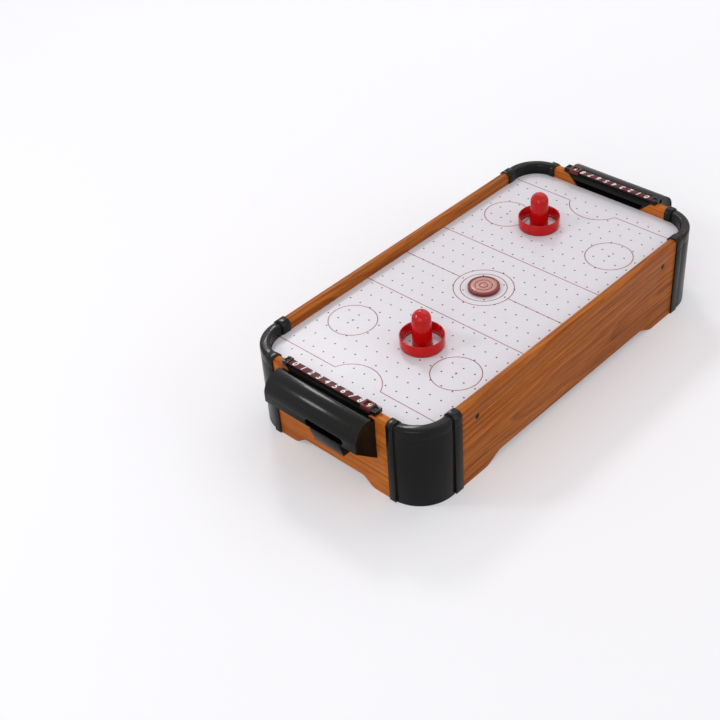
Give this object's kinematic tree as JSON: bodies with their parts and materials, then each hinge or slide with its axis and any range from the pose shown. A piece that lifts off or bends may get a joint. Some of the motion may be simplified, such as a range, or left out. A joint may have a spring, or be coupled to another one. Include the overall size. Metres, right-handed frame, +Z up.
{
  "type": "tabletop air hockey table",
  "caption": "Tabletop air hockey table: wood frame with moulded corners, drilled playfield over a fan box, goal hoods with catch cups, sliding score keepers, pushers and a puck.",
  "frame": {"origin": "centre of the footprint on the surface the table stands on", "axes": "+X along the table towards the right end, +Y across it towards the rear side board, +Z up"},
  "size_m": [0.683, 0.315, 0.163],
  "materials": {
    "wood_laminate": "satin woodgrain laminate",
    "black_plastic": "satin moulded",
    "playfield_white": "smooth, slightly glossy",
    "pine": "sawn",
    "hardboard": "pressed board",
    "grey_plastic": "moulded",
    "motor_can": "plated",
    "zinc_steel": "zinc plated",
    "black_steel": "black coated",
    "cell_jacket": "printed film",
    "lead_jacket": "pvc",
    "maroon_plastic": "satin with white numbers",
    "slider_red": "glossy",
    "felt": "pressed felt",
    "pusher_red": "glossy moulded",
    "puck_red": "satin moulded"
  },
  "bodies": {
    "table": {"front_side_board": "wood_laminate", "rear_side_board": "wood_laminate", "left_end_board": "wood_laminate", "right_end_board": "wood_laminate", "front_left_cover": "black_plastic", "front_right_cover": "black_plastic", "rear_right_cover": "black_plastic", "rear_left_cover": "black_plastic", "playfield": "playfield_white", "front_field_batten": "pine", "rear_field_batten": "pine", "left_field_batten": "pine", "right_field_batten": "pine", "front_floor_batten": "pine", "rear_floor_batten": "pine", "bottom_panel": "hardboard", "left_field_post": "pine", "right_field_post": "pine", "fan_housing": "grey_plastic", "fan_motor": "motor_can", "fan_guard": "grey_plastic", "battery_box": "grey_plastic", "battery_door": "grey_plastic", "battery_cells": "cell_jacket", "battery_contacts": "zinc_steel", "switch_housing": "black_plastic", "power_leads": "lead_jacket", "left_goal_lining": "black_plastic", "right_goal_lining": "black_plastic", "left_goal_hood": "black_plastic", "right_goal_hood": "black_plastic", "left_catch_cup": "black_plastic", "right_catch_cup": "black_plastic", "left_score_rail": "black_plastic", "right_score_rail": "black_plastic", "left_number_strip": "maroon_plastic", "right_number_strip": "maroon_plastic", "side_screws": "black_steel", "hood_screws": "zinc_steel", "score_screws": "black_steel", "panel_screws": "zinc_steel", "door_screw": "zinc_steel"},
    "fan": {"fan_impeller": "grey_plastic", "motor_shaft": "zinc_steel"},
    "switch": {"switch_rocker": "black_plastic"},
    "left_window": {"left_score_slider": "slider_red"},
    "right_window": {"right_score_slider": "slider_red"},
    "left_player": {"left_pusher": "pusher_red", "left_pusher_felt": "felt"},
    "right_player": {"right_pusher": "pusher_red", "right_pusher_felt": "felt"},
    "puck_body": {"puck": "puck_red"}
  },
  "joints": [
    {"name": "fan_spin", "type": "hinge", "parent": "table", "child": "fan", "pos_m": [0, 0, 0.034], "axis": [0, 0, 1], "continuous": true},
    {"name": "switch_rock", "type": "hinge", "parent": "table", "child": "switch", "pos_m": [0.12, 0.1525, 0.06], "axis": [0, 0, 1], "range_deg": [-14, 0]},
    {"name": "left_score_slide", "type": "slide", "parent": "table", "child": "left_window", "axis": [0, 1, 0], "range_m": [0, 0.1269]},
    {"name": "right_score_slide", "type": "slide", "parent": "table", "child": "right_window", "axis": [0, -1, 0], "range_m": [0, 0.1269]},
    {"name": "left_pusher_glide", "type": "slide", "parent": "table", "child": "left_player", "axis": [1, 0, 0], "range_m": [-0.108, 0.088]},
    {"name": "right_pusher_glide", "type": "slide", "parent": "table", "child": "right_player", "axis": [1, 0, 0], "range_m": [-0.118, 0.088]},
    {"name": "puck_glide", "type": "slide", "parent": "table", "child": "puck_body", "axis": [1, 0, 0], "range_m": [-0.088, 0.11]}
  ]
}
